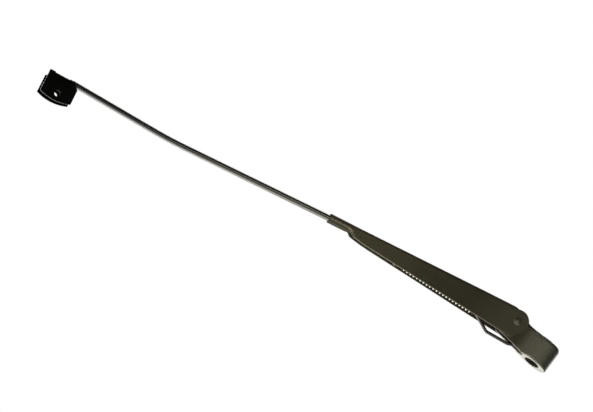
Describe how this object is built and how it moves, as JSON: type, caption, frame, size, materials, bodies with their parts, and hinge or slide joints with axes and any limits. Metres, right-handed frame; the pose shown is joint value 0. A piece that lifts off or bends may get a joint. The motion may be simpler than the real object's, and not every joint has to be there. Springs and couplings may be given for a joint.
{
  "type": "wiper arm",
  "caption": "Side view of a black car wiper arm with its head, folded channel, tension spring, bent rod and a saddle bracket for the blade.",
  "frame": {"origin": "centre of the spindle bore's mouth, on the head's underside", "axes": "+Z along the spindle, away from the glass; +X from the spindle towards the blade; +Y across the arm, parallel to the hinge"},
  "size_m": [0.4566, 0.0176, 0.1169],
  "materials": {
    "black_paint": "satin",
    "gloss_black": "gloss",
    "spring_steel": "satin",
    "dark_zinc": "satin"
  },
  "bodies": {
    "head": {"spindle_head": "black_paint", "pivot_bush": "dark_zinc", "link_pin": "dark_zinc"},
    "arm": {"arm_channel": "black_paint", "wiper_rod": "gloss_black", "blade_bracket": "gloss_black", "bracket_rivets": "gloss_black", "pivot_rivet": "black_paint"},
    "link": {"spring_link": "dark_zinc"},
    "spring": {"tension_spring": "spring_steel"}
  },
  "joints": [
    {"name": "arm_lift", "type": "hinge", "parent": "head", "child": "arm", "pos_m": [0.0303, 0, 0.0167], "axis": [0, -1, 0], "range_deg": [0, 46], "stiffness_Nm_per_rad": 0.8, "springref_deg": -28.65, "deforming": ["tension_spring"]},
    {"name": "link_swing", "type": "hinge", "parent": "head", "child": "link", "pos_m": [0.015, 0, 0.0088], "axis": [0, -1, 0], "range_deg": [0, 42]},
    {"name": "spring_swing", "type": "hinge", "parent": "arm", "child": "spring", "pos_m": [0.13535, 0, -0.00838], "axis": [0, -1, 0], "range_deg": [-7, 0]}
  ],
  "couplings": [
    {"joint": "link_swing", "follows": "arm_lift", "ratio": 0.869},
    {"joint": "spring_swing", "follows": "arm_lift", "ratio": -0.131}
  ]
}
